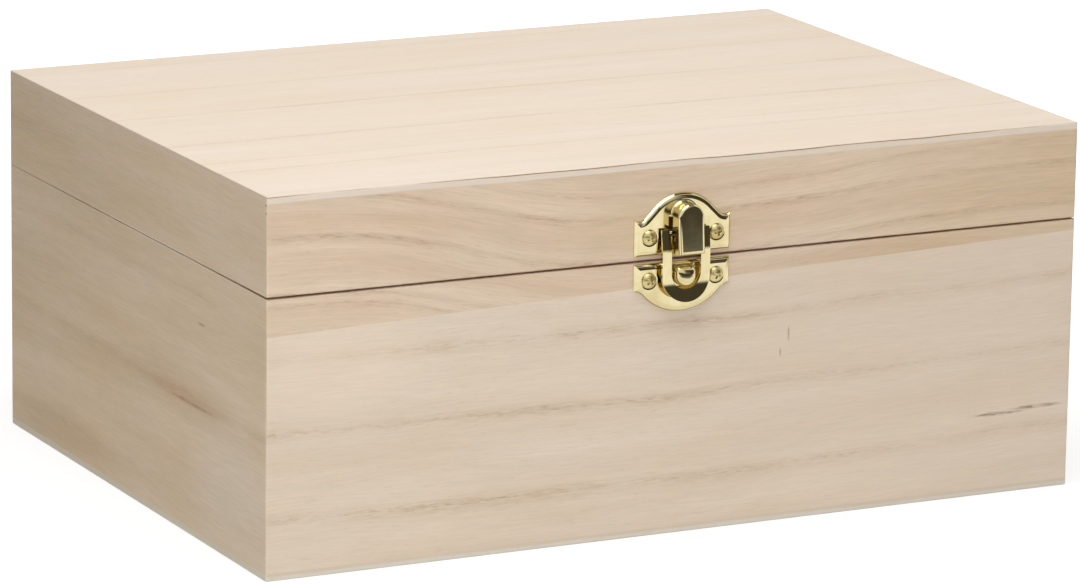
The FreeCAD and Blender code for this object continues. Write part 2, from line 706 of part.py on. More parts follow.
fillet(lid_plate, "housing_face_round", "housing_round",
       lambda edge, middle: middle.y < -number("housing_rise - housing_lean") + 0.02)
fillet(lid_plate, "housing_root_round", "housing_root",
       lambda edge, middle: near(middle.y, "-plate_rise") and abs(middle.x) < number("housing_width / 2") + 0.02
       and number("housing_foot") < middle.z < number("housing_head") + 0.02)

hollow = sketch_on(lid_plate, "housing_hollow", "XZ_Plane")
outline(hollow, bullet("(housing_width - 2 * sheet_thick)", "housing_foot + sheet_thick",
                       "housing_head - sheet_thick"))
pocket(lid_plate, hollow, "housing_rise - housing_lean - sheet_thick", backwards=True)

window_sill = "(pivot_up - tab_diameter / 2 - bail_play)"
window = sketch_on(lid_plate, "housing_window", "YZ_Plane")
outline(window, [
    ("-plate_rise", window_sill),
    ("-plate_rise", "slit_head"),
    ("-slit_rise", "slit_head"),
    ("-slit_rise", "window_head"),
    ("-window_rise", "window_head"),
    ("-window_rise", window_sill),
])
pocket(lid_plate, window, "2 * housing_width", both_ways=True)
screw_seats(lid_plate, "lid_screw_up")

catch_plate = latch_plate("catch", -1)

nose = sketch_on(catch_plate, "nose", "XZ_Plane")
nose_half = "(nose_width / 2)"
nose_arc = ("0", "-bail_eye", nose_half)
outline(nose, [
    (nose_half, "-nose_top"),
    (f"-{nose_half}", "-nose_top"),
    (f"-{nose_half}", "-bail_eye", *nose_arc),
    ("0", f"-bail_eye - {nose_half}", *nose_arc),
    (nose_half, "-bail_eye"),
])
pad(catch_plate, nose, "nose_rise")

brow = sketch_on(catch_plate, "nose_brow", "YZ_Plane")
brow_height = "(nose_crown - nose_top)"
brow_radius = f"(({brow_height} * {brow_height} + nose_lean * nose_lean) / (2 * nose_lean))"
outline(brow, [
    ("-nose_rise", "-nose_crown", f"-nose_rise + {brow_radius}", "-nose_crown", brow_radius),
    ("-nose_rise + nose_lean", "-nose_top"),
    ("-nose_rise - tool_margin", "-nose_top"),
    ("-nose_rise - tool_margin", "-nose_crown"),
])
pocket(catch_plate, brow, "nose_width + 2 * tool_margin", both_ways=True)
fillet(catch_plate, "nose_face_round", "nose_round",
       lambda edge, middle: middle.y < -number("nose_rise - nose_lean") + 0.02
       and not (near(middle.x, "0") and near(middle.z, "-nose_crown")))
screw_seats(catch_plate, "-catch_screw_down")

# Bail: a strip bent in side view, trimmed to a U in front view, with two pivot tabs
bail = new_body("latch_bail", "latch_offset", f"-{HALF_DEPTH}", SEAM_FRONT)
strip = sketch_on(bail, "bail_side", "YZ_Plane")
half_sheet = "(bail_thick / 2)"
middle_out = f"(bail_front - {half_sheet})"
foot = "(bail_eye + bail_width / 2)"
arm_slope = f"(({middle_out} - pivot_out) / (pivot_up - bail_shoulder))"
bends = [
    (f"(pivot_out - bail_end * {arm_slope})", "pivot_up + bail_end"),
    (middle_out, "bail_shoulder"),
    (middle_out, "-bail_knee"),
    (f"({middle_out} + bail_lift)", f"-{foot}"),
]
front_side = [(f"-{out} - {half_sheet}", up) for out, up in bends]
back_side = [(f"-{out} + {half_sheet}", up) for out, up in reversed(bends)]
outline(strip, front_side + back_side)
pad(bail, strip, "bail_width", both_ways=True)
bend_levels = [up for out, up in bends[1:-1]]
fillet(bail, "bail_bends", "bend_round",
       lambda edge, middle: near(middle.x, "0") and any(near(middle.z, up) for up in bend_levels))

blank = sketch_on(bail, "bail_trim", "XZ_Plane")
outer = "(bail_width / 2)"
trim_low = f"-{foot} - tool_margin"
outer_arc = ("0", "-bail_eye", outer)
outline(blank, [
    (f"-{outer}", "-bail_eye", *outer_arc),
    ("0", f"-{foot}", *outer_arc),
    (outer, "-bail_eye"),
    (f"{outer} + tool_margin", "-bail_eye"),
    (f"{outer} + tool_margin", trim_low),
    (f"-{outer} - tool_margin", trim_low),
    (f"-{outer} - tool_margin", "-bail_eye"),
])
pocket(bail, blank, "4 * bail_front + 2 * tool_margin", both_ways=True)

eye = sketch_on(bail, "bail_slot", "XZ_Plane")
slot_half = "(bail_slot / 2)"
slot_top = "(bail_slot_top / 2)"
slot_arc = ("0", "-bail_slot_eye", slot_half)
outline(eye, [
    (f"-{slot_top}", "pivot_up + bail_end + tool_margin"),
    (f"-{slot_top}", "pivot_up - bail_end"),
    (f"-{slot_half}", "bail_shoulder"),
    (f"-{slot_half}", "-bail_slot_eye", *slot_arc),
    ("0", f"-bail_slot_eye - {slot_half}", *slot_arc),
    (slot_half, "-bail_slot_eye"),
    (slot_half, "bail_shoulder"),
    (slot_top, "pivot_up - bail_end"),
    (slot_top, "pivot_up + bail_end + tool_margin"),
])
pocket(bail, eye, "4 * bail_front + 2 * tool_margin", both_ways=True)

tab_start = "(housing_width / 2 - sheet_thick - tab_reach)"
for hand, sign in (("left", -1), ("right", 1)):
    tab = sketch_on(bail, f"bail_{hand}_tab", "YZ_Plane", f"{sign} * {tab_start}")
    circle(tab, "-pivot_out", "pivot_up", "tab_diameter")
    pad(bail, tab, f"{slot_top} + {half_sheet} - {tab_start}", backwards=sign < 0)

# Sub-parts that are handed on, each with the number of solids it holds
NODES = {
    "base_front_upper_stave": 1,
    "base_front_lower_stave": 1,
    "base_right_wall": 1,
    "base_back_wall": 1,
    "base_left_wall": 1,
    "bottom_panel": 1,
    "lid_front_rail": 1,
    "lid_right_rail": 1,
    "lid_back_rail": 1,
    "lid_left_rail": 1,
    "top_panel": 1,
    "latch_lid_plate": 1,
    "latch_catch_plate": 1,
    "latch_bail": 1,
    "latch_lid_screws": 2,
    "latch_catch_screws": 2,
    "hinge_left_base_leaf": 1,
    "hinge_left_lid_leaf": 1,
    "hinge_left_pin": 1,
    "hinge_right_base_leaf": 1,
    "hinge_right_lid_leaf": 1,
    "hinge_right_pin": 1,
    "hinge_base_screws": 4,
    "hinge_lid_screws": 4,
}

doc.recompute()
for item in doc.Objects:
    faults = [state for state in item.State if state in ("Invalid", "Error")]
    if faults:
        raise RuntimeError(f"{item.Label} is {faults}")

os.makedirs("parts", exist_ok=True)
for label, solids in NODES.items():
    shape = doc.getObjectsByLabel(label)[0].Shape
    if shape.isNull() or not shape.isValid() or len(shape.Solids) != solids:
        raise RuntimeError(f"{label} has no sound shape: {len(shape.Solids)} solids")
    shape.exportStep(f"parts/{label}.step")
    print(f"{label}: {shape.Volume:.1f} mm3, {len(shape.Faces)} faces")
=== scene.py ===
# %% [markdown]
# # A bare-wood box with a swing latch
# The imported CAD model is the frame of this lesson. Every solid already has its real size and place, so the
# lesson is about the finishes: light, dry wood with its growth rings, thin plywood panels and bright
# plating.

# %% Load the frame
import json
import math

import bpy
from mathutils import Matrix, Vector

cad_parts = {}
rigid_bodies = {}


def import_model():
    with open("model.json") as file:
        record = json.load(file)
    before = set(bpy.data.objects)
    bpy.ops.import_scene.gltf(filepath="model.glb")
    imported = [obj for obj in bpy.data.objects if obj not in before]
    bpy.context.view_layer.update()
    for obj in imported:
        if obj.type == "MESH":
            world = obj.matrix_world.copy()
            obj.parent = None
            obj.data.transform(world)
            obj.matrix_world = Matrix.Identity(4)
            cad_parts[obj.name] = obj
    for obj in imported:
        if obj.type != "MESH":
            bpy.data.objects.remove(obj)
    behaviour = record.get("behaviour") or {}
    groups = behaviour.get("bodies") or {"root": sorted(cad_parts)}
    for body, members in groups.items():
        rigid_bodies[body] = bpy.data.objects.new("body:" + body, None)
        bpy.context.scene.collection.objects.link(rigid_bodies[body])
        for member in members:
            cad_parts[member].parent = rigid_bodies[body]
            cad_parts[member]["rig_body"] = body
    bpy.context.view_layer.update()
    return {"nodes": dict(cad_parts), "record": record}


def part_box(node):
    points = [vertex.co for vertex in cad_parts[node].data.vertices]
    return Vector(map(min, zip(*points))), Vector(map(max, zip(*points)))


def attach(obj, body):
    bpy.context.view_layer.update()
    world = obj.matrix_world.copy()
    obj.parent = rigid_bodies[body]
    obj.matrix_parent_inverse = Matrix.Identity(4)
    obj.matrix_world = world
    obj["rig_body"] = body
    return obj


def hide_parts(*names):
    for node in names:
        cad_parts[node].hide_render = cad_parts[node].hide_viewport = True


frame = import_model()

cad_nodes = frame["nodes"]
scene = bpy.context.scene
scene.view_settings.view_transform = "Standard"
bpy.ops.object.select_all(action="DESELECT")

# %% [markdown]
# ## Camera
# The photograph was taken with a long lens from a little above the front left corner. A camera could be set
# by eye, but one that is fitted to the corners of the box gives its angles, distance and focal length
# together. The image is taken to be 1080 by 586 pixels.

# %% Camera
IMAGE_WIDTH = 1080
FOCAL_PIXELS = 6172
SENSOR_MM = 36.0
AZIMUTH = math.radians(-26.64)
ELEVATION = math.radians(13.48)
ROLL = math.radians(0.83)
CENTRE_RIGHT, CENTRE_DOWN, CENTRE_AHEAD = -0.0021, -0.0060, 2.1321
VIEW_DEPTH = 50.0

box_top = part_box("top_panel")[1][2]
box_centre = Vector((0.0, 0.0, box_top / 2))
ahead = -Vector((
    math.sin(AZIMUTH) * math.cos(ELEVATION),
    -math.cos(AZIMUTH) * math.cos(ELEVATION),
    math.sin(ELEVATION),
))
level_right = ahead.cross(Vector((0, 0, 1))).normalized()
level_up = level_right.cross(ahead)
right = math.cos(ROLL) * level_right + math.sin(ROLL) * level_up
up = math.cos(ROLL) * level_up - math.sin(ROLL) * level_right
stand = box_centre - CENTRE_RIGHT * right + CENTRE_DOWN * up - CENTRE_AHEAD * ahead

lens = bpy.data.cameras.new("camera")
lens.sensor_fit = "HORIZONTAL"
lens.sensor_width = SENSOR_MM
lens.lens = FOCAL_PIXELS / IMAGE_WIDTH * SENSOR_MM
lens.clip_end = VIEW_DEPTH
camera = bpy.data.objects.new("camera", lens)
scene.collection.objects.link(camera)
turned = Matrix((right, up, -ahead)).transposed().to_4x4()
camera.matrix_world = Matrix.Translation(stand) @ turned
scene.camera = camera
print(f"lens {lens.lens:.1f} mm, camera at {tuple(round(v, 3) for v in stand)}")

# %% [markdown]
# ## Helpers for materials
# Colours are written as sRGB hex values, as they are seen, and turned to the linear values that shaders
# use. One helper adds a node: sockets get either a value or another node, whose first output is then
# linked. The sockets of a colour mix go by number, because their names repeat.

# %% Colour and node helpers
WHITE = "#FFFFFF"
MIX_SHARE, MIX_FROM, MIX_TO, MIXED = 0, 6, 7, 2


def colour(code):
    """An sRGB hex colour as linear red, green, blue and alpha."""
    channels = [int(code[start:start + 2], 16) / 255 for start in (1, 3, 5)]
    linear = [c / 12.92 if c <= 0.04045 else ((c + 0.055) / 1.055) ** 2.4 for c in channels]
    return (*linear, 1.0)


def add(tree, kind, sockets=None, **settings):
    """Add a node with its settings, and fill or link its sockets."""
    node = tree.nodes.new(kind)
    for name, value in settings.items():
        setattr(node, name, value)
    for socket, value in (sockets or {}).items():
        if isinstance(value, bpy.types.Node):
            value = value.outputs[0]
        if isinstance(value, bpy.types.NodeSocket):
            tree.links.new(value, node.inputs[socket])
        else:
            node.inputs[socket].default_value = value
    return node


def new_material(name):
    """A material with an empty node tree."""
    material = bpy.data.materials.new(name)
    material.use_nodes = True
    material.node_tree.nodes.clear()
    return material


print("mid grey #808080 is", round(colour("#808080")[0], 3), "in linear light")

# %% [markdown]
# ## Studio
# The box stands on a white table in a white room. A plain white floor would have to be lit until it burns
# out, and the box with it. Here the table and the room are white to the camera and in reflections, whatever
# light falls on them. Near the box the table still takes part of its brightness from the lamps, so the box
# keeps a soft shadow, and further out it is plain white.

# %% Table
TABLE_SIZE = 12.0
TABLE_PAINT, TABLE_GLOW = "#E2E1DF", 1.25
NEAR, FAR, NEAR_SHARE = 0.2, 0.5, 0.6


def seen_directly(tree):
    """One where the camera, a mirror or glass sees a surface, and zero where only soft light does."""
    rays = add(tree, "ShaderNodeLightPath")
    seen = rays.outputs["Is Camera Ray"]
    for ray in ("Is Glossy Ray", "Is Transmission Ray"):
        seen = add(tree, "ShaderNodeMath", {0: seen, 1: rays.outputs[ray]}, operation="MAXIMUM").outputs[0]
    return seen


bpy.ops.mesh.primitive_plane_add(size=TABLE_SIZE, location=(0, 0, 0))
floor = bpy.context.object
floor.name = "floor"
floor_material = new_material("floor_paint")
tree = floor_material.node_tree
place = add(tree, "ShaderNodeTexCoord").outputs["Object"]
distance = add(tree, "ShaderNodeVectorMath", {0: place}, operation="LENGTH").outputs["Value"]
white = add(tree, "ShaderNodeMapRange", {
    "Value": distance, "From Min": NEAR, "From Max": FAR, "To Min": NEAR_SHARE})
share = add(tree, "ShaderNodeMath", {0: seen_directly(tree), 1: white}, operation="MULTIPLY")
paint = add(tree, "ShaderNodeBsdfDiffuse", {"Color": colour(TABLE_PAINT)})
glow = add(tree, "ShaderNodeEmission", {"Color": colour(WHITE), "Strength": TABLE_GLOW})
table = add(tree, "ShaderNodeMixShader", {0: share, 1: paint, 2: glow})
add(tree, "ShaderNodeOutputMaterial", {"Surface": table})
floor.data.materials.append(floor_material)
bpy.ops.object.select_all(action="DESELECT")
print("table", TABLE_SIZE, "m wide, plain white beyond", FAR, "m")

# %% [markdown]
# One large lamp from above makes the top the lightest face and the left side the darkest, as in the
# photograph. Two weaker ones fill the front, and the back and far side, which show in other views. Seen in
# the latch they would be hard white squares, so reflections leave those two out.

# %% Room and lamps
AMBIENT = 0.20
AIM = Vector((0, 0, 0.06))
# Name, place, size, watts, and whether reflections show it
LAMPS = [
    ("overhead", (-0.25, -0.32, 1.45), 1.2, 19.0, True),
    ("front_fill", (-0.6, -0.95, 0.5), 0.7, 2.7, False),
    ("back_fill", (0.75, 0.95, 0.5), 0.8, 4.0, False),
]
world = bpy.data.worlds.new("studio")
scene.world = world
world.use_nodes = True
tree = world.node_tree
tree.nodes.clear()
ambient = add(tree, "ShaderNodeBackground", {"Color": colour(WHITE), "Strength": AMBIENT})
backdrop = add(tree, "ShaderNodeBackground", {"Color": colour(WHITE), "Strength": 1.0})
sky = add(tree, "ShaderNodeMixShader", {0: seen_directly(tree), 1: ambient, 2: backdrop})
add(tree, "ShaderNodeOutputWorld", {"Surface": sky})

for name, place, size, watts, mirrored in LAMPS:
    light = bpy.data.lights.new(name, "AREA")
    light.size = size
    light.energy = watts
    lamp = bpy.data.objects.new(name, light)
    lamp.location = place
    lamp.rotation_euler = (AIM - lamp.location).to_track_quat("-Z", "Y").to_euler()
    lamp.visible_glossy = mirrored
    scene.collection.objects.link(lamp)
    print(f"{name}: {watts} W, {size} m wide")

# %% [markdown]
# Polished metal shows the room, and in an all-white room it looks like white plastic. A photographer stands
# dark cloth before it. A plain dark sheet would make hard edges in the latch, so the front screen is white
# with a dark band along the table and a dark right-hand part, and a soft fade along each edge of those.

# %% Screen cloth
CLOTH = "#4A473F"
# The axis along which each edge of the dark shape fades, and where it starts and ends
FADES = {
    "foot": ("Z", 0.0, 0.07),
    "band": ("Z", 0.28, 0.16),
    "flank": ("X", 0.06, 0.32),
    "crown": ("Z", 0.8, 0.55),
}
banded_cloth = new_material("screen_cloth")
tree = banded_cloth.node_tree
place = add(tree, "ShaderNodeTexCoord").outputs["Object"]
place = add(tree, "ShaderNodeSeparateXYZ", {0: place})
fade = {}
for edge, (axis, start, stop) in FADES.items():
    fade[edge] = add(tree, "ShaderNodeMapRange", {
        "Value": place.outputs[axis], "From Min": start, "From Max": stop}, interpolation_type="SMOOTHSTEP")
flank = add(tree, "ShaderNodeMath", {0: fade["flank"], 1: fade["crown"]}, operation="MULTIPLY")
shape = add(tree, "ShaderNodeMath", {0: fade["band"], 1: flank}, operation="MAXIMUM")
shape = add(tree, "ShaderNodeMath", {0: shape, 1: fade["foot"]}, operation="MULTIPLY")
cloth = add(tree, "ShaderNodeMix", {
    MIX_SHARE: shape, MIX_FROM: colour(WHITE), MIX_TO: colour(CLOTH)}, data_type="RGBA")
glow = add(tree, "ShaderNodeEmission", {"Color": cloth.outputs[MIXED], "Strength": 1.0})
add(tree, "ShaderNodeOutputMaterial", {"Surface": glow})

dark_cloth = new_material("dark_cloth")
tree = dark_cloth.node_tree
glow = add(tree, "ShaderNodeEmission", {"Color": colour(CLOTH), "Strength": 1.0})
add(tree, "ShaderNodeOutputMaterial", {"Surface": glow})
print("cloths:", banded_cloth.name, dark_cloth.name)

# %% [markdown]
# The front screen stands half a metre from the box. A dark one stands behind the box, and a third hangs
# over its right-hand side. Real ones would shade the box too. Here only reflections see these three, so
# they take no light away. A fourth stands beyond the left side, unseen in reflections, and does take light,
# because the photograph is darker there, towards the back.

# %% Screens
UPRIGHT = math.pi / 2
# Name, place, turn, size, cloth, and whether it takes light in place of being reflected
SCREENS = [
    ("screen_front", (0, -0.62, 0.45), (UPRIGHT, 0, 0), (3.0, 0.9), banded_cloth, False),
    ("screen_back", (0, 0.62, 0.2), (UPRIGHT, 0, 0), (3.0, 0.4), dark_cloth, False),
    ("screen_top", (0.5, -0.1, 1.05), (0, 0, 0), (0.7, 1.0), dark_cloth, False),
    ("screen_left", (-0.45, 0.32, 0.35), (UPRIGHT, 0, UPRIGHT), (0.7, 0.7), dark_cloth, True),
]
for name, place, turn, size, cloth, takes_light in SCREENS:
    bpy.ops.mesh.primitive_plane_add(size=1.0, location=place, rotation=turn)
    screen = bpy.context.object
    screen.name = name
    screen.scale = (*size, 1)
    bpy.ops.object.transform_apply(location=True, rotation=True, scale=True)
    screen.visible_camera = False
    screen.visible_diffuse = takes_light
    screen.visible_shadow = takes_light
    screen.visible_glossy = not takes_light
    screen.data.materials.append(cloth)
    bpy.ops.object.select_all(action="DESELECT")
print(len(SCREENS), "screens")

# %% [markdown]
# ## Bare wood
# The boards are a light, soft wood such as paulownia, planed and sanded, with no varnish. That gives the
# eye a pale, dry surface with hardly any shine. Its growth rings are wide, and each starts with a row of
# large pores that shows as a thin broken line, with a slightly darker band beside it. A picture of wood
# could be laid on each face, but it would not meet at the corners. Here the pattern is worked out from a
# point's place along the grain, across it and into the board, in millimetres, so it runs through each board
# as in a solid plank.

# %% Where a point lies in a board
MM = 1000.0


def board_place(tree, axes, face):
    """A point's place in a board, and how its surface faces.

    axes are the directions along, across and into the board, and face is where its outer face lies along the
    third. facing and ending say how far the surface faces along the third direction and along the first.
    """
    place = add(tree, "ShaderNodeTexCoord")
    in_mm = add(tree, "ShaderNodeVectorMath", {0: place.outputs["Object"], "Scale": MM}, operation="SCALE")
    parts = add(tree, "ShaderNodeSeparateXYZ", {0: in_mm})
    normal = add(tree, "ShaderNodeSeparateXYZ", {0: place.outputs["Normal"]})
    along, across, into = (parts.outputs[axis] for axis in axes)
    depth = add(tree, "ShaderNodeMath", {0: into, 1: face}, operation="SUBTRACT")
    return {
        "along": along, "across": across, "into": into, "depth": depth,
        "straight": add(tree, "ShaderNodeCombineXYZ", {0: along, 1: across, 2: depth}),
        "facing": normal.outputs[axes[2]], "ending": normal.outputs[axes[0]],
    }


print("patterns are worked out in units of", 1 / MM, "m")

# %% [markdown]
# A tree is no even cylinder, so the rings on a sawn face bend. A wave or a noise could bend them, but not
# where the photograph shows it. Here a curve gives the bend along each board, with a slow noise over it, so
# that no ring runs quite even. Below the face the rings lie a little shifted, as in a plank that is sawn at
# a slant.

# %% Ring height
FIGURE_HEIGHT = 60.0
WANDER, WANDER_LENGTH, WANDER_WIDTH, WANDER_DETAIL = 2.5, 90.0, 25.0, 6.0
RING_SLOPE = 0.25


def ring_height(tree, spot, figure):
    """Height above the ring that passes through zero, bent by the figure and by a slow wander."""
    start, stop = figure[0][0], figure[-1][0]
    share = add(tree, "ShaderNodeMapRange", {"Value": spot["along"], "From Min": start, "From Max": stop})
    bend = add(tree, "ShaderNodeFloatCurve", {"Value": share})
    points = [((x - start) / (stop - start), rise / FIGURE_HEIGHT + 0.5) for x, rise in figure]
    curve = bend.mapping.curves[0]
    curve.points[0].location = points[0]
    curve.points[1].location = points[-1]
    for point in points[1:-1]:
        curve.points.new(*point)
    bend.mapping.update()
    rise = add(tree, "ShaderNodeMath", {0: bend, 1: FIGURE_HEIGHT, 2: -FIGURE_HEIGHT / 2},
               operation="MULTIPLY_ADD")
    stretch = (1 / WANDER_LENGTH, 1 / WANDER_WIDTH, 1 / WANDER_WIDTH)
    slow = add(tree, "ShaderNodeVectorMath", {0: spot["straight"], 1: stretch}, operation="MULTIPLY")
    wander = add(tree, "ShaderNodeTexNoise", {"Vector": slow, "Scale": 1.0, "Detail": WANDER_DETAIL})
    sway = add(tree, "ShaderNodeMapRange", {"Value": wander, "To Min": -WANDER, "To Max": WANDER})
    level = add(tree, "ShaderNodeMath", {0: spot["across"], 1: rise}, operation="SUBTRACT")
    level = add(tree, "ShaderNodeMath", {0: level, 1: sway}, operation="ADD")
    return add(tree, "ShaderNodeMath", {0: spot["depth"], 1: RING_SLOPE, 2: level}, operation="MULTIPLY_ADD")


print("rings wander by", WANDER, "mm at most")

# %% [markdown]
# Everything else in the wood follows the rings: cloudy tone, warmer patches, fibres, broken bands and
# pores. One stretched noise each gives them, with its real length and width. Single fibres are too fine to
# show, so they are drawn as bundles, and pores of a quarter of a millimetre are drawn nearly twice as wide.

# %% Patterns along the grain
# Length and width in millimetres, and levels of detail
PATTERNS = {
    "cloud": (150.0, 11.0, 3.0),
    "patch": (55.0, 22.0, 2.0),
    "fibre": (12.0, 0.7, 3.0),
    "fleck": (7.0, 0.9, 2.0),
    "pore": (4.5, 0.45, 1.0),
    "row": (3.5, 0.35, 1.0),
}


def grain_noise(tree, spot, level):
    """A noise for each pattern, stretched along the grain and bent with the rings."""
    grain = add(tree, "ShaderNodeCombineXYZ", {0: spot["along"], 1: level, 2: spot["into"]})
    noise = {}
    for pattern, (length, width, detail) in PATTERNS.items():
        stretch = (1 / length, 1 / width, 1 / width)
        scaled = add(tree, "ShaderNodeVectorMath", {0: grain, 1: stretch}, operation="MULTIPLY")
        noise[pattern] = add(tree, "ShaderNodeTexNoise", {"Vector": scaled, "Scale": 1.0, "Detail": detail})
    return noise


print("patterns:", ", ".join(PATTERNS))

# %% [markdown]
# A ring is a soft band with a row of open pores along it. Evenly spaced rings would look printed, so each
# board lists its own, with width and strength. One colour ramp over the ring height holds them all: the
# band in its red, and the row of pores in its green.

# %% Ring lines
# Place across the ring in ring widths, then the strength of the band and of the row there
RING_SHAPE = [(-1.8, 0.0, 0.0), (-0.5, 0.7, 0.4), (0.0, 1.0, 1.3), (0.4, 0.7, 0.4), (1.2, 0.0, 0.0)]
RING_MARGIN = 20.0
# Values of the noises between which each pattern comes in, and its least or greatest strength
BAND_BREAKS = {"From Min": 0.36, "From Max": 0.62, "To Min": 0.4}
RING_FADES = {"From Min": 0.35, "From Max": 0.62, "To Min": 0.3}
ROW_HOLES = {"From Min": 0.52, "From Max": 0.66}
STRAY_PORES = {"From Min": 0.62, "From Max": 0.74, "To Max": 0.1}


def ring_lines(tree, level, noise, rings):
    """How strongly the rings and the pores show."""
    low, high = rings[0][0] - RING_MARGIN, rings[-1][0] + RING_MARGIN
    reach = add(tree, "ShaderNodeMapRange", {"Value": level, "From Min": low, "From Max": high})
    ramp = add(tree, "ShaderNodeValToRGB", {"Fac": reach})
    stops = ramp.color_ramp.elements
    stops[0].color = stops[1].color = (0, 0, 0, 1)
    for height, width, strength in rings:
        for offset, band, row in RING_SHAPE:
            stop = stops.new((height + offset * width - low) / (high - low))
            stop.color = (band * strength, row * strength, 0, 1)
    ring = add(tree, "ShaderNodeSeparateColor", {0: ramp})
    broken = add(tree, "ShaderNodeMapRange", {"Value": noise["fleck"], **BAND_BREAKS})
    holes = add(tree, "ShaderNodeMapRange", {"Value": noise["row"], **ROW_HOLES})
    life = add(tree, "ShaderNodeMapRange", {"Value": noise["patch"], **RING_FADES})
    pores = add(tree, "ShaderNodeMapRange", {"Value": noise["pore"], **STRAY_PORES})
    bands = add(tree, "ShaderNodeMath", {0: ring.outputs[0], 1: broken}, operation="MULTIPLY")
    rows = add(tree, "ShaderNodeMath", {0: ring.outputs[1], 1: holes}, operation="MULTIPLY")
    lines = add(tree, "ShaderNodeMath", {0: bands, 1: rows}, operation="ADD")
    lines = add(tree, "ShaderNodeMath", {0: lines, 1: life}, operation="MULTIPLY")
    return add(tree, "ShaderNodeMath", {0: lines, 1: pores}, operation="ADD", use_clamp=True)


print("each ring takes", len(RING_SHAPE), "stops of a ramp")

# %% [markdown]
# Some things only one board has: a dark streak, a tint that spreads over one end, painted shade in a saw
# cut, broken up like its raw edge, and a painted highlight along the closed part of a cut. They could be
# painted on an image, but then they would not sit in the wood. Here each is a soft ellipsoid at its place in
# the board, and a streak is broken up by the same noise as the pores.

# %% Marks in a board
# The gap tone is painted shade in the saw cuts, and also the colour of small nicks. The sawn tone is a
# painted highlight along the closed part of a saw cut.
STREAK_TONE, GAP_SHADE_AND_NICK_TONE, SAW_CUT_HIGHLIGHT_TONE = "#705414", "#86562A", "#FFF6EA"
MARK_FADE = {"From Min": 1.0, "From Max": 0.3}
STROKES = {"From Min": 0.4, "From Max": 0.58}


def board_marks(tree, tone, spot, noise, marks):
    """The tone with a board's own marks over it."""
    for (mark_along, mark_across), half_sizes, mark_tone, strength, broken in marks:
        offset = add(tree, "ShaderNodeVectorMath", {0: spot["straight"], 1: (mark_along, mark_across, 0)},
                     operation="SUBTRACT")
        offset = add(tree, "ShaderNodeVectorMath", {0: offset, 1: half_sizes}, operation="DIVIDE")
        distance = add(tree, "ShaderNodeVectorMath", {0: offset}, operation="LENGTH").outputs["Value"]
        mark = add(tree, "ShaderNodeMapRange", {"Value": distance, **MARK_FADE, "To Max": strength},
                   interpolation_type="SMOOTHSTEP")
        strokes = add(tree, "ShaderNodeMapRange", {"Value": noise["row"], **STROKES, "To Min": 1 - broken})
        mark = add(tree, "ShaderNodeMath", {0: mark, 1: strokes}, operation="MULTIPLY")
        tone = add(tree, "ShaderNodeMix", {
            MIX_SHARE: mark, MIX_FROM: tone, MIX_TO: colour(mark_tone)}, data_type="RGBA").outputs[MIXED]
    return tone


# The tone of gaps is painted shade, and the tone of sawn edges a painted highlight.
print("tones of streaks, gaps and sawn edges:", STREAK_TONE, GAP_SHADE_AND_NICK_TONE, SAW_CUT_HIGHLIGHT_TONE)

# %% [markdown]
# A plywood panel shows its plies along its edges, and on its two ends their cut grain, which is darker.
# Each ply could be a piece of its own, but at two and a half millimetres for all of them a ramp over the
# height does as well. It shows only where the surface doesn't face up or down, and it waves a little, as
# sanded plies do.

# %% Plies and ends of a panel
PLY_WAVE = 0.35
WAVE_RANGE = {"From Min": 0.3, "From Max": 0.7, "To Min": -PLY_WAVE, "To Max": PLY_WAVE}
FLAT_FACE = {"From Min": 0.3, "From Max": 0.8}
END_FACE = {"From Min": 0.6, "From Max": 0.9, "To Max": 0.8}


def ply_edges(tree, tone, spot, noise, plies):
    """The tone with plies on the edges, from a list of heights and the colours that they have there."""
    low, high = plies[0][0], plies[-1][0]
    wave = add(tree, "ShaderNodeMapRange", {"Value": noise["patch"], **WAVE_RANGE})
    height = add(tree, "ShaderNodeMath", {0: spot["into"], 1: wave}, operation="ADD")
    layer = add(tree, "ShaderNodeMapRange", {"Value": height, "From Min": low, "From Max": high})
    ramp = add(tree, "ShaderNodeValToRGB", {"Fac": layer})
    stops = ramp.color_ramp.elements
    stops[0].color = colour(plies[0][1])
    stops[1].color = colour(plies[-1][1])
    for ply_height, ply in plies[1:-1]:
        stops.new((ply_height - low) / (high - low)).color = colour(ply)
    flat = add(tree, "ShaderNodeMath", {0: spot["facing"]}, operation="ABSOLUTE")
    flat = add(tree, "ShaderNodeMapRange", {"Value": flat, **FLAT_FACE})
    return add(tree, "ShaderNodeMix", {
        MIX_SHARE: flat, MIX_FROM: ramp, MIX_TO: tone}, data_type="RGBA").outputs[MIXED]


def panel_ends(tree, tone, spot, ends):
    """The tone with another colour on the ends."""
    end = add(tree, "ShaderNodeMath", {0: spot["ending"]}, operation="ABSOLUTE")
    end = add(tree, "ShaderNodeMapRange", {"Value": end, **END_FACE})
    return add(tree, "ShaderNodeMix", {
        MIX_SHARE: end, MIX_FROM: tone, MIX_TO: colour(ends)}, data_type="RGBA").outputs[MIXED]


print("plies wave by", PLY_WAVE, "mm")

# %% [markdown]
# Now the wood itself. Its tone lies between a light and a dark one, with the rings, marks and plies over
# it, and the fibres make it a little lighter and darker from line to line. Dry, sanded wood is rough, so
# its roughness is high and its shine low, and the fibres stand up by no more than a tenth of a millimetre.

# %% Wood material
CLOUD_RANGE = {"From Min": 0.3, "From Max": 0.7}
WARMTH = {"From Min": 0.3, "From Max": 0.7, "To Min": 0.94, "To Max": 1.06}
FIBRE_RANGE = {"From Min": 0.25, "From Max": 0.75}
SANDED = {"To Min": 0.6, "To Max": 0.8}
WOOD_SHINE = 0.12
FIBRE_RELIEF, FIBRE_STRENGTH = 0.0001, 0.3


